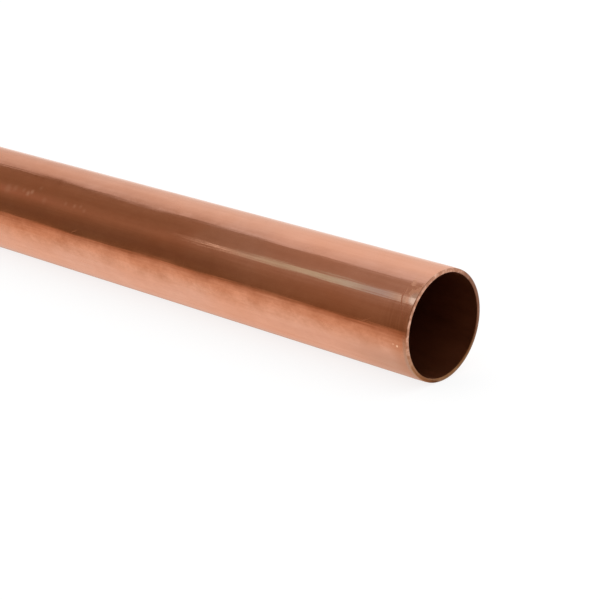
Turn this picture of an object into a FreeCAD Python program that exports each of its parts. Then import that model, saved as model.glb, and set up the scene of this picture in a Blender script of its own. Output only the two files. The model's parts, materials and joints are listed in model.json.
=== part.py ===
import FreeCAD, Part
import math
import os

import Sketcher
from FreeCAD import Vector

# Copper pipe: one length of hard-drawn copper tube, cut square at both ends with a wheel cutter
# and lying on its side. Millimetres. X runs along the pipe, Z is up, and the floor is Z = 0
# under the middle of the pipe.
#
# The cutter leaves the same form on each end. Its wheel presses the last few millimetres of the
# wall inwards, inside and out alike, so the pipe narrows a little towards the cut. The outer
# edge of the cut is rolled round, and the edge of the bore is chamfered where it was deburred.

NODE = "copper_pipe"

# name, value in millimetres, what it measures
SIZES = [
    ("outside_diameter", 28.0, "outside diameter of the drawn tube"),
    ("wall_thickness", 1.0, "wall of the drawn tube, the same all round"),
    ("pipe_length", 1000.0, "length over the two cut ends"),
    ("cutter_band_length", 3.0, "length at each end that the cutter pressed inwards"),
    ("turned_in_depth", 0.08, "how far the outside has turned in where the rolled edge begins"),
    ("rolled_edge_radius", 0.25, "radius rolled on the outer edge of the cut"),
    ("deburr_chamfer", 0.15, "chamfer on the edge of the bore, along the pipe and across it"),
]

# the points of a line or an arc, and the sketch's two axes, as a constraint names them
START, END, CENTRE = 1, 2, 3
PIPE_AXIS, MIDDLE_AXIS = -1, -2


def make_sheet(doc):
    """The driving dimensions, one to a row: name, value, note."""
    sheet = doc.addObject("Spreadsheet::Sheet", "Sizes")
    for row, (name, value, note) in enumerate(SIZES, start=1):
        sheet.set("A%d" % row, name)
        sheet.set("B%d" % row, str(value))
        sheet.set("C%d" % row, note)
        sheet.setAlias("B%d" % row, name)
    doc.recompute()
    return sheet


def origin_plane(body, role):
    """One of the body's own origin planes."""
    for feature in body.Origin.OriginFeatures:
        if feature.Role == role:
            return feature
    raise ValueError("the body has no %s" % role)


def arc(centre, radius, start, end):
    """An arc drawn anticlockwise from one angle to the other."""
    return Part.ArcOfCircle(Part.Circle(centre, Vector(0, 0, 1), radius), start, end)


def draw_section(sketch, sheet):
    """The wall above the pipe's axis, from the middle of the pipe to its right-hand cut.

    Returns the number that the sketch gives each line and arc, by name.
    """
    outer = sheet.outside_diameter / 2
    inner = outer - sheet.wall_thickness
    cut = sheet.pipe_length / 2
    straight = cut - sheet.cutter_band_length
    edge = sheet.rolled_edge_radius
    deburr = sheet.deburr_chamfer
    upwards = math.pi / 2

    # the outside turns in along one long arc, from the straight wall to the rolled edge
    turn_length = sheet.cutter_band_length - edge
    depth = sheet.turned_in_depth
    outer_bend = (turn_length**2 + depth**2) / (2 * depth)
    outer_sweep = math.asin(turn_length / outer_bend)
    bend_centre = Vector(straight, outer - outer_bend, 0)
    edge_centre = Vector(cut - edge, outer - depth - edge, 0)

    # the bore turns in about the same centre, so the wall keeps its thickness
    inner_bend = outer_bend - sheet.wall_thickness
    inner_sweep = math.asin((sheet.cutter_band_length - deburr) / inner_bend)
    bore_edge = Vector(cut - deburr, bend_centre.y + inner_bend * math.cos(inner_sweep), 0)

    cut_top = edge_centre + Vector(edge, 0, 0)
    cut_bottom = bore_edge + Vector(deburr, deburr, 0)

    shapes = {
        "outer_wall": Part.LineSegment(Vector(0, outer, 0), Vector(straight, outer, 0)),
        "outer_turn": arc(bend_centre, outer_bend, upwards - outer_sweep, upwards),
        "rolled_edge": arc(edge_centre, edge, 0, upwards - outer_sweep),
        "cut": Part.LineSegment(cut_top, cut_bottom),
        "deburred_edge": Part.LineSegment(cut_bottom, bore_edge),
        "inner_turn": arc(bend_centre, inner_bend, upwards - inner_sweep, upwards),
        "inner_wall": Part.LineSegment(Vector(straight, inner, 0), Vector(0, inner, 0)),
        "middle": Part.LineSegment(Vector(0, inner, 0), Vector(0, outer, 0)),
    }
    return {name: sketch.addGeometry(shape, False) for name, shape in shapes.items()}


def constrain_section(sketch, line):
    """Close the outline, make it smooth where it is, and tie each size to the sheet."""
    rule = Sketcher.Constraint
    sketch.addConstraint(
        [
            rule("Horizontal", line["outer_wall"]),
            rule("Tangent", line["outer_wall"], END, line["outer_turn"], END),
            rule("Tangent", line["outer_turn"], START, line["rolled_edge"], END),
            rule("Tangent", line["rolled_edge"], START, line["cut"], START),
            rule("Vertical", line["cut"]),
            rule("Coincident", line["cut"], END, line["deburred_edge"], START),
            rule("Coincident", line["deburred_edge"], END, line["inner_turn"], START),
            rule("Coincident", line["outer_turn"], CENTRE, line["inner_turn"], CENTRE),
            rule("Tangent", line["inner_turn"], END, line["inner_wall"], START),
            rule("Horizontal", line["inner_wall"]),
            rule("Coincident", line["inner_wall"], END, line["middle"], START),
            rule("Coincident", line["middle"], END, line["outer_wall"], START),
            rule("Vertical", line["middle"]),
            rule("PointOnObject", line["middle"], START, MIDDLE_AXIS),
        ]
    )

    axis = (PIPE_AXIS, START)
    wall_end = (line["outer_wall"], END)
    bore_end = (line["inner_wall"], START)
    cut_top = (line["cut"], START)
    turn_top = (line["outer_turn"], END)
    turn_bottom = (line["outer_turn"], START)
    deburr_top = (line["deburred_edge"], START)
    deburr_bottom = (line["deburred_edge"], END)

    # name in the sketch, direction, the points it runs from and to, and what the sheet says
    spans = [
        ("outer_radius", "DistanceY", axis, wall_end, "Sizes.outside_diameter / 2"),
        ("wall", "DistanceY", bore_end, wall_end, "Sizes.wall_thickness"),
        ("half_length", "DistanceX", axis, cut_top, "Sizes.pipe_length / 2"),
        ("band", "DistanceX", wall_end, cut_top, "Sizes.cutter_band_length"),
        ("turned_in", "DistanceY", turn_bottom, turn_top, "Sizes.turned_in_depth"),
        ("deburr_along", "DistanceX", deburr_bottom, deburr_top, "Sizes.deburr_chamfer"),
        ("deburr_across", "DistanceY", deburr_bottom, deburr_top, "Sizes.deburr_chamfer"),
    ]
    for name, direction, first, second, expression in spans:
        drawn = sketch.getPoint(*second) - sketch.getPoint(*first)
        size = drawn.x if direction == "DistanceX" else drawn.y
        index = sketch.addConstraint(rule(direction, *first, *second, size))
        sketch.renameConstraint(index, name)
        sketch.setExpression("Constraints." + name, expression)

    radius = sketch.Geometry[line["rolled_edge"]].Radius
    index = sketch.addConstraint(rule("Radius", line["rolled_edge"], radius))
    sketch.renameConstraint(index, "edge_radius")
    sketch.setExpression("Constraints.edge_radius", "Sizes.rolled_edge_radius")


def make_pipe(doc, sheet):
    """Half the pipe turned about its axis, then mirrored, because both ends are cut alike."""
    body = doc.addObject("PartDesign::Body", "Pipe")
    body.Label = NODE

    section = body.newObject("Sketcher::SketchObject", "WallSection")
    section.AttachmentSupport = (origin_plane(body, "XZ_Plane"), [""])
    section.MapMode = "FlatFace"
    line = draw_section(section, sheet)
    constrain_section(section, line)
    doc.recompute()

    half = body.newObject("PartDesign::Revolution", "HalfTube")
    half.Profile = section
    half.ReferenceAxis = (section, ["H_Axis"])
    half.Angle = 360.0
    doc.recompute()

    whole = body.newObject("PartDesign::Mirrored", "WholeTube")
    whole.Originals = [half]
    whole.MirrorPlane = (origin_plane(body, "YZ_Plane"), [""])
    body.Tip = whole

    # the pipe lies on the floor along its whole length
    body.setExpression(".Placement.Base.z", "Sizes.outside_diameter / 2")
    doc.recompute()
    return body


def check_document(doc, body):
    """Stop before anything is written if an object failed or the pipe isn't one sound solid."""
    for item in doc.Objects:
        for word in ("Invalid", "Error"):
            if word in item.State:
                raise RuntimeError("%s is %s" % (item.Label, item.State))
    if body.Shape.isNull() or not body.Shape.isValid():
        raise RuntimeError("%s has no valid shape" % body.Label)
    if len(body.Shape.Solids) != 1:
        raise RuntimeError("%s is not one solid" % body.Label)


def main():
    doc = FreeCAD.newDocument("CopperPipe")
    body = make_pipe(doc, make_sheet(doc))
    check_document(doc, body)

    os.makedirs("parts", exist_ok=True)
    body.Shape.exportStep(os.path.join("parts", body.Label + ".step"))
    print("%s: volume %.3f mm3" % (body.Label, body.Shape.Volume))


main()
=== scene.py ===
import json
import math
from collections import namedtuple
from types import SimpleNamespace

import bmesh
import bpy
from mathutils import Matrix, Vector, noise


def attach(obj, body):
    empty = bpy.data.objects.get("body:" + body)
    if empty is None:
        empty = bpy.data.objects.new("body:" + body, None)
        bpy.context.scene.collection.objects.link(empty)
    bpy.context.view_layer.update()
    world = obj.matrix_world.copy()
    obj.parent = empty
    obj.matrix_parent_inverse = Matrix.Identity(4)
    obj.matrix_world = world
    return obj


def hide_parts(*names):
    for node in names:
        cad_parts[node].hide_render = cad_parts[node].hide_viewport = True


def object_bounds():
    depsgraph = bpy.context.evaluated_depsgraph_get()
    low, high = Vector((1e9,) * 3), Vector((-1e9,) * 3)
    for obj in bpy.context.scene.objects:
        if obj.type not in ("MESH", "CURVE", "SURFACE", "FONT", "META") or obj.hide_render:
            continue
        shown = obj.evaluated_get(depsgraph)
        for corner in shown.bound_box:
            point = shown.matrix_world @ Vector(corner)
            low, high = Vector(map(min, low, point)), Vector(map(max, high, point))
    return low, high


# Copper pipe: the drawn tube's finish, its two wheel-cut ends and the light that its polish mirrors.
# Metres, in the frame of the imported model: X along the pipe, Z up, the floor at Z = 0. Angles round
# the pipe are measured from straight up, and are positive on the camera's side.

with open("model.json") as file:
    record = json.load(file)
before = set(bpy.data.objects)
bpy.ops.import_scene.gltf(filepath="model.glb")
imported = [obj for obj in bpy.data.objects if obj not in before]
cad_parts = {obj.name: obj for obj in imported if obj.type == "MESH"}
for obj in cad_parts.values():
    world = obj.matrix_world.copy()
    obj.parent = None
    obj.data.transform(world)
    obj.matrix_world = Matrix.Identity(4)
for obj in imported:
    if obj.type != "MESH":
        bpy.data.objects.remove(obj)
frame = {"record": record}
cad_low, cad_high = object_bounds()

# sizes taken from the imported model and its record
MM_PER_M = 1000
mount_radius = {mount["name"]: mount["dims"].get("r_mm") for mount in frame["record"]["mounts"]}
OUTER_RADIUS = mount_radius["outside_right_end"] / MM_PER_M
BORE_RADIUS = mount_radius["bore"] / MM_PER_M
WALL = OUTER_RADIUS - BORE_RADIUS
HALF_LENGTH = cad_high.x
AXIS_HEIGHT = OUTER_RADIUS

# the wheel-cut end, the same sizes as in the source of the part
BAND_LENGTH = 0.003
TURNED_IN = 0.00008
ROLLED_EDGE = 0.00025
DEBURR = 0.00015

# how finely the tube is meshed
SEGMENTS = 144
OUTER_STEP = 0.0025
INNER_STEP = 0.010
TURN_STEPS = 8
EDGE_STEPS = 6
SHARP_ANGLE = math.radians(30)

# the pipe is not perfectly true: its wall has long shallow waves, none past its full size. They run
# from there to twice this depth.
WAVE_DEPTH = 0.00002
WAVE_LENGTH = 0.035

# camera, fitted to the photograph's outlines of the rim and of the pipe's two sides
CAMERA_AZIMUTH = math.radians(42.59)
CAMERA_ELEVATION = math.radians(18.97)
LENS_MM = 114.9
SENSOR_MM = 36.0
CLIP_NEAR = 0.01
CLIP_FAR = 100.0
# where the centre of the near cut lies from the camera: right, down and away
CUT_FROM_CAMERA = Vector((0.03389, 0.00607, 0.45056))

SEED = 7


# Node helpers

# soft noise: its stretch along each axis, where less is longer, and the rest as on its node
Grain = namedtuple("Grain", "stretch scale detail roughness distortion", defaults=(0.5, 0.0))
NOISE_MEAN = 0.5


def new_material(name):
    """An empty node material: returns it and its node tree."""
    material = bpy.data.materials.new(name)
    material.use_nodes = True
    tree = material.node_tree
    tree.nodes.clear()
    return material, tree


def add(tree, kind, inputs=None, **settings):
    """A node with its settings and its inputs: values are set, sockets are linked."""
    node = tree.nodes.new(kind)
    for name, value in settings.items():
        setattr(node, name, value)
    for name, value in (inputs or {}).items():
        socket = node.inputs[name]
        if isinstance(value, bpy.types.NodeSocket):
            tree.links.new(value, socket)
        else:
            socket.default_value = value
    return node


def maths(tree, operation, *values):
    """One arithmetic step on numbers or sockets."""
    return add(tree, "ShaderNodeMath", dict(enumerate(values)), operation=operation).outputs[0]


def times(tree, *values):
    """The product of some numbers or sockets."""
    product = values[0]
    for value in values[1:]:
        product = maths(tree, "MULTIPLY", product, value)
    return product


def most(tree, *values):
    """The greatest of some numbers or sockets."""
    greatest = values[0]
    for value in values[1:]:
        greatest = maths(tree, "MAXIMUM", greatest, value)
    return greatest


def ramp(tree, factor, stops):
    """A colour ramp through (position, colour) stops. A plain number stands for a grey."""
    node = add(tree, "ShaderNodeValToRGB", {"Fac": factor})
    elements = node.color_ramp.elements
    while len(elements) > 1:
        elements.remove(elements[-1])
    for index, (position, colour) in enumerate(stops):
        element = elements[0] if index == 0 else elements.new(position)
        element.position = position
        rgb = (colour,) * 3 if isinstance(colour, (int, float)) else colour
        element.color = (*rgb, 1)
    return node.outputs["Color"]


def blend(tree, factor, first, second, mode="MIX"):
    """Two colours mixed by a factor."""
    node = add(tree, "ShaderNodeMix", data_type="RGBA", blend_type=mode)
    for name, value in (("Factor", factor), ("A", first), ("B", second)):
        # the colour mix keeps its own sockets after those for numbers and vectors
        socket = next(s for s in node.inputs if s.name == name and s.enabled)
        if isinstance(value, bpy.types.NodeSocket):
            tree.links.new(value, socket)
        else:
            socket.default_value = value if name == "Factor" else (*value, 1)
    return next(s for s in node.outputs if s.enabled)


def stain(tree, colour, tint, *amounts):
    """A colour tinted by the product of some amounts."""
    return blend(tree, times(tree, *amounts), colour, tint)


def cloud(tree, place, grain):
    """Soft noise over the object."""
    stretched = add(tree, "ShaderNodeMapping", {"Vector": place, "Scale": grain.stretch}).outputs[0]
    inputs = {
        "Vector": stretched,
        "Scale": grain.scale,
        "Detail": grain.detail,
        "Roughness": grain.roughness,
        "Distortion": grain.distortion,
    }
    return add(tree, "ShaderNodeTexNoise", inputs).outputs["Fac"]


def spread(tree, share, low, high):
    """A share from 0 to 1 turned into a value between two others."""
    inputs = {"Value": share, "To Min": low, "To Max": high}
    return add(tree, "ShaderNodeMapRange", inputs).outputs[0]


def ramp_between(tree, value, start, end, stops):
    """A colour ramp whose stops are places between a start and an end of the value."""
    inputs = {"Value": value, "From Min": start, "From Max": end}
    share = add(tree, "ShaderNodeMapRange", inputs).outputs[0]
    return ramp(tree, share, [((place - start) / (end - start), colour) for place, colour in stops])


def fade(tree, value, start, end):
    """0 up to the start, 1 from the end, and a smooth rise between. The end may be the lower one."""
    inputs = {"Value": value, "From Min": start, "From Max": end}
    return add(tree, "ShaderNodeMapRange", inputs, interpolation_type="SMOOTHSTEP").outputs[0]


def within(tree, value, centre, inner, outer):
    """1 where a value is near a centre, falling to 0 at the outer distance."""
    offset = maths(tree, "ABSOLUTE", maths(tree, "SUBTRACT", value, centre))
    return fade(tree, offset, outer, inner)


def round_at(tree, angle, centre, inner, outer):
    """The same for an angle round the pipe, in degrees."""
    return within(tree, angle, math.radians(centre), math.radians(inner), math.radians(outer))


def patch(tree, place, centre, inner, outer):
    """1 within one distance of a point and 0 beyond another."""
    offset = add(tree, "ShaderNodeVectorMath", {0: place, 1: centre}, operation="DISTANCE")
    return fade(tree, offset.outputs["Value"], outer, inner)


def relief(tree, noise_value, distance, normal=None, mask=None):
    """Noise as height. The height is taken about its mean, so that a mask tilts nothing."""
    height = maths(tree, "SUBTRACT", noise_value, NOISE_MEAN)
    if mask is not None:
        height = times(tree, height, mask)
    inputs = {"Height": height, "Strength": 1.0, "Distance": distance}
    if normal is not None:
        inputs["Normal"] = normal
    return add(tree, "ShaderNodeBump", inputs).outputs[0]


def object_place(tree):
    """The point being shaded, in metres in the part's own frame."""
    return add(tree, "ShaderNodeTexCoord").outputs["Object"]


def place_axes(tree):
    """That point's X, Y and Z."""
    return add(tree, "ShaderNodeSeparateXYZ", {"Vector": object_place(tree)}).outputs


def round_axis(tree, axes):
    """That point's angle round the pipe's axis, and its height above the axis."""
    above_axis = maths(tree, "SUBTRACT", axes["Z"], AXIS_HEIGHT)
    return maths(tree, "ARCTAN2", times(tree, axes["Y"], -1.0), above_axis), above_axis


def finish(material, tree, **inputs):
    """The metal's shader, from inputs named as on the node with spaces for underscores."""
    named = {name.replace("_", " "): value for name, value in inputs.items()}
    shader = add(tree, "ShaderNodeBsdfPrincipled", named)
    add(tree, "ShaderNodeOutputMaterial", {"Surface": shader.outputs[0]})
    return material


# The outside wall's material

# Two values are where something starts and where it is full, or the values that it runs between.
# Three are an angle in degrees, how far to each side of it something is full, and where it ends.
# ALONG is measured along the pipe from a cut, and LOW from the axis up.

COPPER_ORANGE = (0.74, 0.342, 0.217)
COPPER_PINK = (0.76, 0.392, 0.274)
COPPER_RED = (0.60, 0.24, 0.14)
# what copper tints a glancing reflection with
COPPER_EDGE_TINT = (0.97, 0.84, 0.76, 1)
# the brown is tarnish, and also paints shade on the wall
BROWN_TARNISH_AND_SHADE = (0.42, 0.15, 0.07)
# the grey is tarnish, and also paints shade at the lip
GREY_TARNISH_AND_SHADE = (0.40, 0.24, 0.17)
MARK_RED = (0.80, 0.36, 0.21)
SCUFF_ORANGE = (0.90, 0.50, 0.33)
SCUFF_PINK = (1.0, 0.62, 0.52)
# the colour of a painted glint by the near cut
PAINTED_GLINT_COLOUR = (0.84, 0.57, 0.45)
RUBBED_RED = (0.92, 0.42, 0.31)
SPECK_BRIGHT = (0.95, 0.62, 0.45)

# the bare metal
COPPER_CLOUDS = Grain((0.6, 1, 1), 45, 4, 0.6, 0.5)
COPPER_CLOUD_STOPS = [(0.36, COPPER_ORANGE), (0.64, COPPER_PINK)]
RED_STREAKS = Grain((0.03, 1, 1), 700, 2, 0.6)
RED_STREAK_STOPS = [(0.40, 0.0), (0.72, 0.24)]

# how rough it is, and how much rougher a mark is
POLISHED, WORN = 0.12, 0.19
WORN_PATCHES = Grain((0.5, 1, 1), 110, 4, 0.6)
WORN_PATCH_STOPS = [(0.35, POLISHED), (0.65, WORN)]
MARK_ROUGHENS = 0.28

# its relief, with the height of each kind
LONG_WAVES = Grain((0.7, 1, 1), 40, 2, 0.4)
LONG_WAVE_HEIGHT = 0.0003
DENTS = Grain((0.7, 1.1, 1.1), 110, 1, 0.4)
DENT_HEIGHT = 0.00025
DENTS_ABOVE_AND_BELOW = (0.4, 1.0)
DRAWING_LINES = Grain((0.03, 1, 1), 1100, 2, 0.6)
DRAWING_LINE_HEIGHT = 0.00003

# the side that has lain on benches and floors is the more marked one
UNDERSIDE_LOW = (0.005, 0.0)

# brown smears all over, thicker along one side and, further back, along the crest. That thickening is
# painted shade along the lower and upper edges of the mirrored flag
SMEARS = Grain((0.65, 1, 1), 200, 5, 0.75)
SMEAR_STOPS = [(0.36, 0.0), (0.70, 0.40)]
SMEAR_AND_PAINTED_SHADE_AMOUNT = (0.5, 1.5)
PAINTED_SHADE_LOWER_EDGE = (93, 7, 20)
PAINTED_SHADE_UPPER_EDGE = (27, 2, 8)
PAINTED_SHADE_UPPER_EDGE_ALONG = (0.04, 0.07)

# by the near cut the crest has fewer smears and is lighter: along the pipe, round it in radians, and
# the share of smears left
CLEARER_CREST_ALONG = (0.06, 0.04)
CLEARER_CREST_ROUND = (0.4, 0.2)
CLEARER_CREST_SMEARS_LEFT = (1.0, 0.2)

# further back, painted shade on the crest: a thin brown darkening that softens the upper edge of the
# mirrored flag
PAINTED_SHADE_CREST = (21, 5, 14)
PAINTED_SHADE_CREST_ALONG = (0.04, 0.06)
PAINTED_SHADE_CREST_STRENGTH = 0.2

# stains low by the cuts, with a ragged edge
STAIN_RAGGED_BY = 0.012
STAIN_LOW = (-0.002, -0.008)
GREY_STAIN_ALONG = (0.032, 0.006)
GREY_STAIN_STRENGTH = 0.6
BROWN_STAIN_ALONG = (0.045, 0.006)
BROWN_STAIN_STRENGTH = 0.2

# the lip: the last of the wall before the cut. The grey at the very lip is painted shade
LIP_LOW = (0.002, -0.001)
BROWN_LIP_ALONG = (0.006, 0.0015)
BROWN_LIP_STRENGTH = 0.35
PAINTED_SHADE_LIP_ALONG = (0.0016, 0.0006)
PAINTED_SHADE_LIP_STRENGTH = 0.7

# hairlines in groups, at two angles to the pipe, in degrees
HAIRLINES = Grain((0.07, 1, 1), 900, 1)
HAIRLINE_RISE = (0.70, 0.75)
HAIRLINE_GROUPS = Grain((0.5, 1, 1), 90, 1)
HAIRLINE_GROUP_RISE = (0.52, 0.60)
HAIRLINE_ANGLES = (24, -9)
HAIRLINE_STRENGTH = 0.6
MARK_TINT_STRENGTH = 0.35

# a stretch that was rubbed unevenly, measured from the near cut
STRETCH_RUBS = Grain((0.3, 1, 1), 300, 2)
STRETCH_RUB_STRENGTHS = (0.2, 1.0)
STRETCH_SIDE = (55, 1, 8)
STRETCH_ALONG = (0.105, 0.145)
STRETCH_STRENGTH = 0.7

# the cutter's line runs askew: far behind the cut up to one angle, and nearer to it from the other
LINE_BEHIND_CUT = (0.0040, 0.0012)
LINE_TURNS = (math.radians(46), math.radians(78))
LINE_WAVERS_BY = 0.0004
# how far to each side of its middle the line is full, and where it ends
LINE_HALF_WIDTHS = (0.0001, 0.0003)
LINE_SIDE = (58, 10, 20)
LINE_STRENGTH = 0.7

# the burnished band between the line and the cut. Its upper part is the roughest.
BAND_EDGE = (0.0, -0.0005)
BAND_RUBS = Grain((1, 0.8, 1), 700, 2)
BAND_RUB_RISE = (0.38, 0.66)
BAND_RUB_STRENGTH = 0.35
ROUGHEST_SIDE = (38, 5, 15)
ROUGHEST_STRENGTH = 0.5

# faint rings where the cutter's rollers ran
ROLLER_RINGS = Grain((1, 0.05, 1), 900, 2, 0.6)
ROLLER_RING_RISE = (0.42, 0.62)
ROLLER_RINGS_ALONG = (0.010, 0.005)
ROLLER_RINGS_SIDE = (68, 10, 22)
ROLLER_RING_STRENGTH = 0.28

# small bright marks: distance from the near cut, angle in degrees, size and strength
SPECKS = [
    (0.0028, 98.5, 0.0004, 1.0),
    (0.0040, 97.5, 0.0003, 0.5),
]
SCUFFS = [
    (0.1461, 53.8, 0.0020, 0.45),
    (0.1433, 51.5, 0.0014, 0.35),
    (0.1397, 51.0, 0.0010, 0.35),
    (0.1376, 53.2, 0.0012, 0.9),
    (0.1363, 50.5, 0.0011, 0.9),
    (0.1338, 43.5, 0.0010, 0.3),
    (0.1304, 56.2, 0.0014, 0.3),
    (0.1219, 53.0, 0.0009, 0.35),
    (0.1183, 52.8, 0.0009, 0.5),
    (0.1160, 51.5, 0.0008, 0.35),
    (0.1141, 55.0, 0.0009, 0.35),
]
MARK_CORE = 0.0001
# a painted glint on the rolled edge by the near cut: its place, and the distances at which it is full
# and gone
PAINTED_GLINT_PLACE = (0.0004, 49)
PAINTED_GLINT_SIZES = (0.0009, 0.0022)


def on_wall(from_cut, degrees):
    """A point on the outside wall: how far it is from the near cut, and how far round from the top."""
    angle = math.radians(degrees)
    side = -OUTER_RADIUS * math.sin(angle)
    return (HALF_LENGTH - from_cut, side, AXIS_HEIGHT + OUTER_RADIUS * math.cos(angle))


def lay_out_wall(tree):
    """Where the shaded point lies on the tube: its place, angle and distances, as sockets."""
    place = object_place(tree)
    axes = place_axes(tree)
    angle, above_axis = round_axis(tree, axes)
    round_wall = times(tree, angle, OUTER_RADIUS)
    return SimpleNamespace(
        place=place,
        angle=angle,
        above_axis=above_axis,
        # the wall unrolled: along the pipe, then round it
        flat=add(tree, "ShaderNodeCombineXYZ", {"X": axes["X"], "Y": round_wall}).outputs[0],
        from_cut=maths(tree, "SUBTRACT", HALF_LENGTH, maths(tree, "ABSOLUTE", axes["X"])),
        from_near_cut=maths(tree, "SUBTRACT", HALF_LENGTH, axes["X"]),
        underside=fade(tree, above_axis, *UNDERSIDE_LOW),
        clouds=cloud(tree, place, COPPER_CLOUDS),
    )


def bare_copper(tree, wall):
    """Pinker and more orange clouds, with thin redder streaks along the pipe."""
    colour = ramp(tree, wall.clouds, COPPER_CLOUD_STOPS)
    streaks = ramp(tree, cloud(tree, wall.place, RED_STREAKS), RED_STREAK_STOPS)
    return blend(tree, streaks, colour, COPPER_RED)


def smears_and_painted_shade(tree, wall, colour):
    """Brown smears, thicker along one side and the crest as painted shade along the edges of the
    mirrored flag, and thinner on the crest by the near cut.
    """
    # painted shade: thicker smears along the lower and upper edges of the mirrored flag
    side = round_at(tree, wall.angle, *PAINTED_SHADE_LOWER_EDGE)
    further_back = fade(tree, wall.from_near_cut, *PAINTED_SHADE_UPPER_EDGE_ALONG)
    crest = times(tree, round_at(tree, wall.angle, *PAINTED_SHADE_UPPER_EDGE), further_back)
    thickness = spread(tree, most(tree, side, crest), *SMEAR_AND_PAINTED_SHADE_AMOUNT)
    clearer_along = fade(tree, wall.from_near_cut, *CLEARER_CREST_ALONG)
    clearer_crest = times(tree, clearer_along, fade(tree, wall.angle, *CLEARER_CREST_ROUND))
    left = spread(tree, clearer_crest, *CLEARER_CREST_SMEARS_LEFT)
    smears = ramp(tree, cloud(tree, wall.place, SMEARS), SMEAR_STOPS)
    return stain(tree, colour, BROWN_TARNISH_AND_SHADE, smears, times(tree, thickness, left))


def tarnish_and_painted_shade(tree, wall, colour):
    """Brown smears with painted shade along the mirrored flag's edges, and grey-brown stains low by the
    cuts.
    """
    colour = smears_and_painted_shade(tree, wall, colour)
    # painted shade: a brown darkening on the crest, at the mirrored flag's upper edge
    crest_shade_along = fade(tree, wall.from_near_cut, *PAINTED_SHADE_CREST_ALONG)
    crest_shade = times(tree, round_at(tree, wall.angle, *PAINTED_SHADE_CREST), crest_shade_along)
    colour = stain(tree, colour, BROWN_TARNISH_AND_SHADE, crest_shade, PAINTED_SHADE_CREST_STRENGTH)

    ragged = maths(tree, "ADD", wall.from_cut, times(tree, wall.clouds, STAIN_RAGGED_BY))
    low = fade(tree, wall.above_axis, *STAIN_LOW)
    grey = fade(tree, ragged, *GREY_STAIN_ALONG)
    colour = stain(tree, colour, GREY_TARNISH_AND_SHADE, grey, low, GREY_STAIN_STRENGTH)
    brown = fade(tree, ragged, *BROWN_STAIN_ALONG)
    return stain(tree, colour, BROWN_TARNISH_AND_SHADE, brown, wall.underside, BROWN_STAIN_STRENGTH)


def hairlines(tree, flat, degrees):
    """Fine scratches, a few here and there, at an angle to the pipe."""
    turn = {"Vector": flat, "Rotation": (0, 0, math.radians(degrees))}
    turned = add(tree, "ShaderNodeMapping", turn).outputs[0]
    fine = fade(tree, cloud(tree, turned, HAIRLINES), *HAIRLINE_RISE)
    here = fade(tree, cloud(tree, turned, HAIRLINE_GROUPS), *HAIRLINE_GROUP_RISE)
    return times(tree, fine, here)


def rubbed_stretch(tree, wall):
    """A long patch that was rubbed unevenly."""
    rubs = spread(tree, cloud(tree, wall.flat, STRETCH_RUBS), *STRETCH_RUB_STRENGTHS)
    side = round_at(tree, wall.angle, *STRETCH_SIDE)
    return times(tree, rubs, side, fade(tree, wall.from_near_cut, *STRETCH_ALONG))


def cutter_marks(tree, wall):
    """What the cutter left by each cut: a line round the pipe, a burnished band and faint rings."""
    line_place = spread(tree, fade(tree, wall.angle, *LINE_TURNS), *LINE_BEHIND_CUT)
    behind_line = maths(tree, "SUBTRACT", wall.from_cut, line_place)
    behind_line = maths(tree, "SUBTRACT", behind_line, times(tree, wall.clouds, LINE_WAVERS_BY))
    line = within(tree, behind_line, 0.0, *LINE_HALF_WIDTHS)
    rubs = fade(tree, cloud(tree, wall.flat, BAND_RUBS), *BAND_RUB_RISE)
    rubbed = times(tree, fade(tree, behind_line, *BAND_EDGE), rubs)
    rings = fade(tree, cloud(tree, wall.flat, ROLLER_RINGS), *ROLLER_RING_RISE)
    by_cut = fade(tree, wall.from_cut, *ROLLER_RINGS_ALONG)
    return SimpleNamespace(
        line=times(tree, line, round_at(tree, wall.angle, *LINE_SIDE)),
        rubbed=times(tree, rubbed, BAND_RUB_STRENGTH),
        scuffed=times(tree, rubbed, round_at(tree, wall.angle, *ROUGHEST_SIDE)),
        rings=times(tree, rings, by_cut, round_at(tree, wall.angle, *ROLLER_RINGS_SIDE)),
    )


def small_marks(tree, wall, places):
    """Round marks from a list of places."""
    marks = []
    for from_cut, degrees, size, strength in places:
        mark = patch(tree, wall.place, on_wall(from_cut, degrees), MARK_CORE, size)
        marks.append(times(tree, mark, strength))
    return most(tree, *marks)


def lip_brown_and_painted_shade(tree, wall, colour):
    """The last of the wall before the cut, below the axis: browner, and grey at the very lip as painted
    shade.
    """
    low = fade(tree, wall.above_axis, *LIP_LOW)
    brown = fade(tree, wall.from_cut, *BROWN_LIP_ALONG)
    colour = stain(tree, colour, BROWN_TARNISH_AND_SHADE, brown, low, BROWN_LIP_STRENGTH)
    # painted shade: grey at the very lip, below the axis
    grey = fade(tree, wall.from_cut, *PAINTED_SHADE_LIP_ALONG)
    return stain(tree, colour, GREY_TARNISH_AND_SHADE, grey, low, PAINTED_SHADE_LIP_STRENGTH)


def wall_relief(tree, wall):
    """The wall's long waves, dents the size of a fingertip, and fine drawing lines."""
    normal = relief(tree, cloud(tree, wall.place, LONG_WAVES), LONG_WAVE_HEIGHT)
    dented = spread(tree, wall.underside, *DENTS_ABOVE_AND_BELOW)
    normal = relief(tree, cloud(tree, wall.place, DENTS), DENT_HEIGHT, normal, dented)
    return relief(tree, cloud(tree, wall.place, DRAWING_LINES), DRAWING_LINE_HEIGHT, normal)


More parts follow.
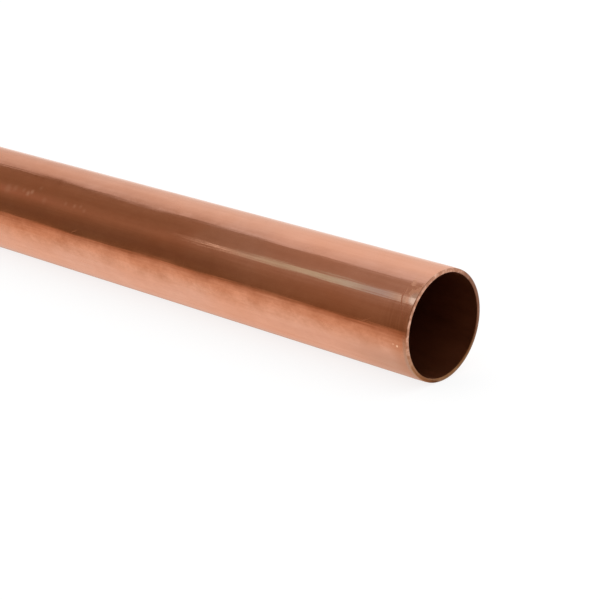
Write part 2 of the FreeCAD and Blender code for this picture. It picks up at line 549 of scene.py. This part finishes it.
def drawn_copper():
    """The outside wall: drawn copper gone a little brown, with the cutter's marks, a few of use,
    painted shade and a painted glint.
    """
    material, tree = new_material("drawn_copper")
    wall = lay_out_wall(tree)
    cutter = cutter_marks(tree, wall)
    scratches = most(tree, *[hairlines(tree, wall.flat, degrees) for degrees in HAIRLINE_ANGLES])
    painted_glint = patch(tree, wall.place, on_wall(*PAINTED_GLINT_PLACE), *PAINTED_GLINT_SIZES)
    marks = most(tree, times(tree, scratches, HAIRLINE_STRENGTH), cutter.rubbed, cutter.scuffed)

    colour = tarnish_and_painted_shade(tree, wall, bare_copper(tree, wall))
    colour = stain(tree, colour, BROWN_TARNISH_AND_SHADE, cutter.rings, ROLLER_RING_STRENGTH)
    colour = stain(tree, colour, MARK_RED, marks, MARK_TINT_STRENGTH)
    colour = stain(tree, colour, SCUFF_ORANGE, cutter.scuffed, ROUGHEST_STRENGTH)
    colour = stain(tree, colour, RUBBED_RED, rubbed_stretch(tree, wall), STRETCH_STRENGTH)
    colour = stain(tree, colour, SCUFF_PINK, small_marks(tree, wall, SCUFFS))
    colour = stain(tree, colour, COPPER_RED, cutter.line, LINE_STRENGTH)
    colour = lip_brown_and_painted_shade(tree, wall, colour)
    colour = stain(tree, colour, SPECK_BRIGHT, small_marks(tree, wall, SPECKS))
    # painted glint: a lighter patch on the rolled edge by the near cut
    colour = stain(tree, colour, PAINTED_GLINT_COLOUR, painted_glint)

    roughness = ramp(tree, cloud(tree, wall.place, WORN_PATCHES), WORN_PATCH_STOPS)
    rougher = times(tree, most(tree, marks, cutter.line), MARK_ROUGHENS)
    return finish(
        material,
        tree,
        Base_Color=colour,
        Metallic=1.0,
        Roughness=maths(tree, "ADD", roughness, rougher),
        Specular_Tint=COPPER_EDGE_TINT,
        Normal=wall_relief(tree, wall),
    )


# The cut's and the bore's materials

CUT_METAL = (0.44, 0.20, 0.12)
CUT_BRIGHT = (0.80, 0.46, 0.33)
# painted shade, golden-brown, for the lower ring; then painted light for its lower front
CUT_PAINTED_SHADE_GOLDEN = (0.18, 0.076, 0.020)
CUT_PAINTED_LIGHT = (0.42, 0.195, 0.088)
CUT_BROWN = (0.17, 0.070, 0.038)

# bright spots and an uneven surface
CUT_SPOTS = Grain((1, 1, 1), 700, 2)
CUT_SPOT_STOPS = [(0.44, CUT_METAL), (0.70, CUT_BRIGHT)]
CUT_UNEVEN = Grain((1, 1, 1), 500, 3, 0.6)
CUT_UNEVEN_HEIGHT = 0.00008
CUT_ROUGHNESS = 0.32

# the parts of the ring that are low (by Z), and to the back and to the front (by Y)
CUT_LOW = (0.95 * OUTER_RADIUS, 0.15 * OUTER_RADIUS)
CUT_BACK = (0.1 * OUTER_RADIUS, 0.8 * OUTER_RADIUS)
CUT_FRONT = (-0.15 * OUTER_RADIUS, -0.45 * OUTER_RADIUS)
CUT_BROWN_STRENGTH = 0.85
CUT_PAINTED_SHADE_STRENGTH = 0.85
CUT_PAINTED_LIGHT_STRENGTH = 0.8

OXIDE_DARK = (0.22, 0.066, 0.026)
OXIDE_RED = (0.34, 0.108, 0.045)
OXIDE_PATCHES = Grain((0.3, 1, 1), 120, 4, 0.6)
OXIDE_PATCH_STOPS = [(0.35, OXIDE_DARK), (0.7, OXIDE_RED)]
OXIDE_HEIGHT = 0.0002
OXIDE_METALLIC = 0.88
OXIDE_ROUGHNESS = 0.46


def cut_copper():
    """The cutter's ring: bright spots on uneven metal, brown at the back, golden-brown painted shade
    below, and painted light low at the front.
    """
    material, tree = new_material("cut_copper")
    place = object_place(tree)
    axes = place_axes(tree)
    low = fade(tree, axes["Z"], *CUT_LOW)
    back = fade(tree, axes["Y"], *CUT_BACK)
    front = fade(tree, axes["Y"], *CUT_FRONT)
    colour = ramp(tree, cloud(tree, place, CUT_SPOTS), CUT_SPOT_STOPS)
    colour = stain(tree, colour, CUT_BROWN, back, CUT_BROWN_STRENGTH)
    # painted shade: the lower ring darkened to golden-brown
    colour = stain(tree, colour, CUT_PAINTED_SHADE_GOLDEN, low, CUT_PAINTED_SHADE_STRENGTH)
    # painted light: the lower front of the ring made lighter
    colour = stain(tree, colour, CUT_PAINTED_LIGHT, low, front, CUT_PAINTED_LIGHT_STRENGTH)
    normal = relief(tree, cloud(tree, place, CUT_UNEVEN), CUT_UNEVEN_HEIGHT)
    return finish(
        material,
        tree,
        Base_Color=colour,
        Metallic=1.0,
        Roughness=CUT_ROUGHNESS,
        Normal=normal,
    )


def bore_copper():
    """The inside wall: dull brown oxide, redder where it is thinner."""
    material, tree = new_material("bore_copper")
    patches = cloud(tree, object_place(tree), OXIDE_PATCHES)
    return finish(
        material,
        tree,
        Base_Color=ramp(tree, patches, OXIDE_PATCH_STOPS),
        Metallic=OXIDE_METALLIC,
        Roughness=OXIDE_ROUGHNESS,
        Normal=relief(tree, patches, OXIDE_HEIGHT),
    )


# The tube

OUTSIDE, CUT, BORE = 0, 1, 2


def arc_points(centre_x, centre_r, radius, start, end, count):
    """Points (x, r) along an arc, from one angle to the other, both in radians from the +X side."""
    points = []
    for step in range(count + 1):
        angle = start + (end - start) * step / count
        points.append((centre_x + radius * math.cos(angle), centre_r + radius * math.sin(angle)))
    return points


def end_profile():
    """The right-hand end from the straight outside wall to the straight bore: (x, r, material)."""
    straight = HALF_LENGTH - BAND_LENGTH
    turn_length = BAND_LENGTH - ROLLED_EDGE
    outer_bend = (turn_length**2 + TURNED_IN**2) / (2 * TURNED_IN)
    outer_sweep = math.asin(turn_length / outer_bend)
    inner_bend = outer_bend - WALL
    inner_sweep = math.asin((BAND_LENGTH - DEBURR) / inner_bend)
    bend_r = OUTER_RADIUS - outer_bend
    edge_r = OUTER_RADIUS - TURNED_IN - ROLLED_EDGE
    upwards = math.pi / 2

    outer_turn = arc_points(straight, bend_r, outer_bend, upwards, upwards - outer_sweep, TURN_STEPS)
    edge_x = HALF_LENGTH - ROLLED_EDGE
    edge = arc_points(edge_x, edge_r, ROLLED_EDGE, upwards - outer_sweep, 0, EDGE_STEPS)
    inner_turn = arc_points(straight, bend_r, inner_bend, upwards - inner_sweep, upwards, TURN_STEPS)
    ring_r = inner_turn[0][1] + DEBURR
    ring = [(HALF_LENGTH, (edge_r + ring_r) / 2), (HALF_LENGTH, ring_r)]

    profile = [(x, r, OUTSIDE) for x, r in outer_turn]
    profile += [(x, r, CUT) for x, r in edge[1:] + ring]
    profile += [(x, r, BORE) for x, r in inner_turn]
    return profile


def steps_between(low, high, spacing):
    """Evenly spaced places strictly between two ends."""
    count = max(round((high - low) / spacing), 1)
    return [low + (high - low) * i / count for i in range(1, count)]


def tube_profile():
    """The whole closed section, once round: outside, right end, bore, left end."""
    right = end_profile()
    left = [(-x, r, slot) for x, r, slot in reversed(right)]
    straight = HALF_LENGTH - BAND_LENGTH
    outside = [(x, OUTER_RADIUS, OUTSIDE) for x in steps_between(-straight, straight, OUTER_STEP)]
    bore = [(-x, BORE_RADIUS, BORE) for x in steps_between(-straight, straight, INNER_STEP)]
    return outside + right + bore + left


def wave(x, angle):
    """How far the wall has moved from its true round, always inwards, as drawing left it."""
    around = Vector((math.cos(angle), math.sin(angle))) * OUTER_RADIUS
    place = Vector((x, around.x, around.y)) / WAVE_LENGTH
    return WAVE_DEPTH * (noise.noise(place + Vector((SEED, 0, 0))) - 1)


def ring_points(x, r):
    """One ring of the tube's points, moved by the wall's waves."""
    points = []
    for segment in range(SEGMENTS):
        angle = 2 * math.pi * segment / SEGMENTS
        radius = r + wave(x, angle)
        points.append((x, -radius * math.sin(angle), AXIS_HEIGHT + radius * math.cos(angle)))
    return points


def make_tube():
    """The tube as one closed mesh, with its outside, its cuts and its bore in their own materials."""
    build = bmesh.new()
    profile = tube_profile()
    rings = [[build.verts.new(point) for point in ring_points(x, r)] for x, r, _ in profile]
    for index, ring in enumerate(rings):
        following = (index + 1) % len(rings)
        # the rolled edge and the deburred one belong to the cut
        slots = (profile[index][2], profile[following][2])
        slot = CUT if CUT in slots else slots[0]
        for segment in range(SEGMENTS):
            beside = (segment + 1) % SEGMENTS
            corners = (ring[segment], rings[following][segment], rings[following][beside], ring[beside])
            face = build.faces.new(corners)
            face.material_index = slot
            face.smooth = True
    bmesh.ops.recalc_face_normals(build, faces=build.faces)
    for edge in build.edges:
        edge.smooth = edge.calc_face_angle() < SHARP_ANGLE

    mesh = bpy.data.meshes.new("copper_pipe_surface")
    build.to_mesh(mesh)
    build.free()
    for material in (drawn_copper(), cut_copper(), bore_copper()):
        mesh.materials.append(material)
    tube = bpy.data.objects.new("copper_pipe_tube", mesh)
    bpy.context.collection.objects.link(tube)
    return tube


# Light, and what the polish mirrors

# a card is seen by reflections alone
HIDDEN_FROM = ("camera", "diffuse", "shadow", "transmission", "volume_scatter")


def emitter(name, colour):
    """A material that gives off the colour that a function makes in its node tree."""
    material, tree = new_material(name)
    glow = add(tree, "ShaderNodeEmission", {"Color": colour(tree), "Strength": 1.0})
    add(tree, "ShaderNodeOutputMaterial", {"Surface": glow.outputs[0]})
    return material


def grid_card(name, point, squares, material):
    """A curved card: point(u, v) gives its places, over a grid of squares along it and across it.

    It stands out of the picture: the polish mirrors it, and it casts no light or shade.
    """
    along, across = squares
    build = bmesh.new()
    rows = []
    for i in range(along + 1):
        rows.append([build.verts.new(point(i / along, j / across)) for j in range(across + 1)])
    for i in range(along):
        for j in range(across):
            build.faces.new((rows[i][j], rows[i + 1][j], rows[i + 1][j + 1], rows[i][j + 1]))
    mesh = bpy.data.meshes.new(name)
    build.to_mesh(mesh)
    build.free()
    mesh.materials.append(material)
    card = bpy.data.objects.new(name, mesh)
    bpy.context.collection.objects.link(card)
    for ray in HIDDEN_FROM:
        setattr(card, "visible_" + ray, False)


# the tent over the pipe is half a tunnel: a white scrim on the far side and, just inside its edge,
# a brown flag on the camera's side
TENT_RADIUS = 0.10
TENT_HALF_LENGTH = 0.75
TENT_FAR = math.radians(-78)
TENT_NEAR = math.radians(98)

SCRIM_RADIUS = 0.103
SCRIM_EDGE = math.radians(14)
SCRIM_SQUARES = (1, 26)
SCRIM_FADES_FROM = 0.41
SCRIM_FADES_TO = 0.22
SCRIM_FAR_TINT = (0.85, 0.82, 0.81)
# angle in degrees, and the colour there
SCRIM_STOPS = [
    (-78, (1.0, 1.0, 1.0)),
    (-30, (1.03, 1.05, 1.06)),
    (1, (0.81, 0.83, 0.88)),
]

# the angle of the flag's upper edge by the near end and further back, and where it changes
FLAG_EDGE_NEAR = math.radians(3.0)
FLAG_EDGE_FAR = math.radians(-9.0)
FLAG_EDGE_TURNS_FROM = 0.43
FLAG_EDGE_TURNS_TO = 0.27
FLAG_EDGE_WAVER = math.radians(3.0)
FLAG_EDGE_WAVER_LENGTH = 0.036
FLAG_SQUARES = (400, 28)
FLAG_FADES_FROM = 0.33
FLAG_FADES_TO = 0.41
# angle in degrees, and the colour there
FLAG_FAR_STOPS = [
    (2, (0.34, 0.24, 0.165)),
    (25, (0.292, 0.194, 0.122)),
    (48, (0.345, 0.226, 0.148)),
    (55, (0.318, 0.207, 0.132)),
    (66, (0.24, 0.152, 0.09)),
    (79, (0.205, 0.13, 0.078)),
    (98, (0.205, 0.13, 0.07)),
]
FLAG_NEAR_STOPS = [
    (2, (0.46, 0.37, 0.31)),
    (25, (0.45, 0.37, 0.32)),
    (46, (0.44, 0.35, 0.29)),
    (65, (0.34, 0.235, 0.16)),
    (98, (0.25, 0.155, 0.085)),
]


def tent_point(x, angle, radius=TENT_RADIUS):
    """A place on the tent's wall."""
    return (x, -radius * math.sin(angle), AXIS_HEIGHT + radius * math.cos(angle))


def tent_ramp(tree, stops):
    """A colour that changes round the tent."""
    angle, _ = round_axis(tree, place_axes(tree))
    stops = [(math.radians(degrees), colour) for degrees, colour in stops]
    return ramp_between(tree, angle, TENT_FAR, TENT_NEAR, stops)


def scrim_colour(tree):
    """The white side: white low down, a cool grey overhead, and dimmer and warmer further back."""
    distance = fade(tree, place_axes(tree)["X"], SCRIM_FADES_FROM, SCRIM_FADES_TO)
    return blend(tree, distance, tent_ramp(tree, SCRIM_STOPS), SCRIM_FAR_TINT, "MULTIPLY")


def flag_colour(tree):
    """The dark side: warm brown, darkest near the floor, lighter and pinker towards the near end."""
    near = fade(tree, place_axes(tree)["X"], FLAG_FADES_FROM, FLAG_FADES_TO)
    return blend(tree, near, tent_ramp(tree, FLAG_FAR_STOPS), tent_ramp(tree, FLAG_NEAR_STOPS))


def flag_edge(x):
    """The flag's upper edge: further over the top away from the near end, and never quite straight."""
    share = (FLAG_EDGE_TURNS_FROM - x) / (FLAG_EDGE_TURNS_FROM - FLAG_EDGE_TURNS_TO)
    angle = FLAG_EDGE_NEAR + (FLAG_EDGE_FAR - FLAG_EDGE_NEAR) * min(max(share, 0.0), 1.0)
    return angle + FLAG_EDGE_WAVER * noise.noise(Vector((x / FLAG_EDGE_WAVER_LENGTH, SEED, 0)))


def make_tent():
    """The scrim and the flag."""
    def along(u):
        return (2 * u - 1) * TENT_HALF_LENGTH

    def scrim_point(u, v):
        return tent_point(along(u), TENT_FAR + (SCRIM_EDGE - TENT_FAR) * v, SCRIM_RADIUS)

    def flag_point(u, v):
        edge = flag_edge(along(u))
        return tent_point(along(u), edge + (TENT_NEAR - edge) * v)

    grid_card("scrim", scrim_point, SCRIM_SQUARES, emitter("scrim_white", scrim_colour))
    grid_card("flag", flag_point, FLAG_SQUARES, emitter("flag_brown", flag_colour))


# the strip light hangs inside the flag: a wedge, wide beside the near cut and a hair at its far tip
STRIP_RADIUS = 0.098
STRIP_NEAR_X = 0.47
STRIP_TAPERS_FROM_X = 0.405
STRIP_TIP_X = 0.348
STRIP_NEAR_ANGLE = math.radians(39.5)
STRIP_TIP_ANGLE = math.radians(42)
STRIP_HALF_WIDTH = math.radians(6.2)
STRIP_TIP_HALF_WIDTH = math.radians(0.9)
STRIP_SQUARES = (24, 4)
# place along the pipe, and the colour there
STRIP_STOPS = [
    (0.357, (1.7, 1.8, 1.7)),
    (0.366, (0.69, 0.64, 0.57)),
    (0.379, (0.62, 0.77, 0.71)),
    (0.394, (0.66, 0.88, 0.83)),
    (0.408, (0.65, 0.97, 1.0)),
    (0.418, (0.62, 0.91, 1.0)),
    (0.422, (0.54, 0.72, 0.92)),
    (0.427, (0.47, 0.58, 0.75)),
    (0.430, (0.70, 0.88, 0.94)),
    (0.434, (0.82, 0.97, 0.98)),
    (0.441, (0.83, 0.82, 0.80)),
]


def strip_colour(tree):
    """Pale beside the cut, then blue, green-grey and warm grey, and bright at the thin tip."""
    return ramp_between(tree, place_axes(tree)["X"], STRIP_TIP_X, STRIP_NEAR_X, STRIP_STOPS)


def make_strip():
    """A narrow tapered light above the pipe's near end, on the camera's side."""
    def point(u, v):
        x = STRIP_NEAR_X + (STRIP_TIP_X - STRIP_NEAR_X) * u
        taper = min((x - STRIP_TIP_X) / (STRIP_TAPERS_FROM_X - STRIP_TIP_X), 1.0)
        middle = STRIP_TIP_ANGLE + (STRIP_NEAR_ANGLE - STRIP_TIP_ANGLE) * taper
        half_width = STRIP_TIP_HALF_WIDTH + (STRIP_HALF_WIDTH - STRIP_TIP_HALF_WIDTH) * taper
        return tent_point(x, middle + half_width * (2 * v - 1), STRIP_RADIUS)

    grid_card("strip", point, STRIP_SQUARES, emitter("strip_light", strip_colour))


# what the pipe mirrors on the floor in front of it, from the flag's foot to its own shade
BOUNCE_HEIGHT = 0.0004
BOUNCE_NEAR_Y = -0.104
BOUNCE_FAR_Y = -0.0015
BOUNCE_SQUARES = (1, 4)
# place across the floor, and the colour there
BOUNCE_STOPS = [
    (-0.098, (0.25, 0.155, 0.085)),
    (-0.088, (0.42, 0.265, 0.155)),
    (-0.069, (0.56, 0.355, 0.235)),
    (-0.050, (0.73, 0.545, 0.415)),
    (-0.032, (0.93, 0.775, 0.645)),
    (-0.021, (1.0, 0.97, 0.92)),
    (-0.0145, (1.0, 1.0, 1.0)),
    (-0.011, (1.0, 0.99, 0.98)),
    (-0.008, (0.95, 0.865, 0.82)),
    (-0.0055, (0.76, 0.62, 0.54)),
    (-0.0040, (0.50, 0.37, 0.29)),
    (-0.0015, (0.36, 0.24, 0.18)),
]


def bounce_colour(tree):
    """Brown by the flag, orange, then white, and warm shade right under the pipe."""
    return ramp_between(tree, place_axes(tree)["Y"], BOUNCE_NEAR_Y, BOUNCE_FAR_Y, BOUNCE_STOPS)


def make_bounce():
    """A card on the floor, between the flag and the pipe."""
    def point(u, v):
        y = BOUNCE_NEAR_Y + (BOUNCE_FAR_Y - BOUNCE_NEAR_Y) * v
        return ((2 * u - 1) * TENT_HALF_LENGTH, y, BOUNCE_HEIGHT)

    grid_card("bounce", point, BOUNCE_SQUARES, emitter("bounce_warm", bounce_colour))


# Floor, world and camera

FLOOR_HALF = 14.0
FLOOR_GLOW = 0.82
FLOOR_ALBEDO = 0.22
WHITE = (1, 1, 1, 1)


def make_floor():
    """A pale floor that keeps the pipe's shadow. Seen directly or mirrored, it glows to white."""
    mesh = bpy.data.meshes.new("floor")
    corners = [(-1, -1), (1, -1), (1, 1), (-1, 1)]
    mesh.from_pydata([(x * FLOOR_HALF, y * FLOOR_HALF, 0) for x, y in corners], [], [(0, 1, 2, 3)])
    floor = bpy.data.objects.new("floor", mesh)
    bpy.context.collection.objects.link(floor)
    material, tree = new_material("floor_white")
    path = add(tree, "ShaderNodeLightPath").outputs
    seen = most(tree, path["Is Camera Ray"], path["Is Glossy Ray"], path["Is Transmission Ray"])
    glow = times(tree, seen, FLOOR_GLOW)
    matt = add(tree, "ShaderNodeBsdfDiffuse", {"Color": (FLOOR_ALBEDO,) * 3 + (1,)})
    light = add(tree, "ShaderNodeEmission", {"Color": WHITE, "Strength": glow})
    both = add(tree, "ShaderNodeAddShader", {0: matt.outputs[0], 1: light.outputs[0]})
    add(tree, "ShaderNodeOutputMaterial", {"Surface": both.outputs[0]})
    mesh.materials.append(material)


def make_world():
    """White all round, at the level at which a colour renders as it is written."""
    world = bpy.data.worlds.new("studio")
    bpy.context.scene.world = world
    world.use_nodes = True
    background = world.node_tree.nodes["Background"]
    background.inputs["Color"].default_value = WHITE
    background.inputs["Strength"].default_value = 1.0


def make_camera():
    """The photograph's camera, placed from where it saw the centre of the near cut."""
    azimuth, elevation = CAMERA_AZIMUTH, CAMERA_ELEVATION
    level = math.cos(elevation)
    right = Vector((math.cos(azimuth), math.sin(azimuth), 0))
    back = Vector((math.sin(azimuth) * level, -math.cos(azimuth) * level, math.sin(elevation)))
    up = back.cross(right)
    cut_centre = Vector((HALF_LENGTH, 0, AXIS_HEIGHT))
    seen = CUT_FROM_CAMERA
    data = bpy.data.cameras.new("camera")
    data.lens = LENS_MM
    data.sensor_width = SENSOR_MM
    data.clip_start = CLIP_NEAR
    data.clip_end = CLIP_FAR
    camera = bpy.data.objects.new("camera", data)
    camera.rotation_mode = "QUATERNION"
    camera.rotation_quaternion = (-back).to_track_quat("-Z", "Y")
    camera.location = cut_centre - seen.x * right + seen.y * up + seen.z * back
    bpy.context.collection.objects.link(camera)
    bpy.context.scene.camera = camera


tube = make_tube()
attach(tube, "root")
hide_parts("copper_pipe")

make_floor()
make_tent()
make_strip()
make_bounce()
make_world()
make_camera()

bpy.context.scene.view_settings.view_transform = "Standard"
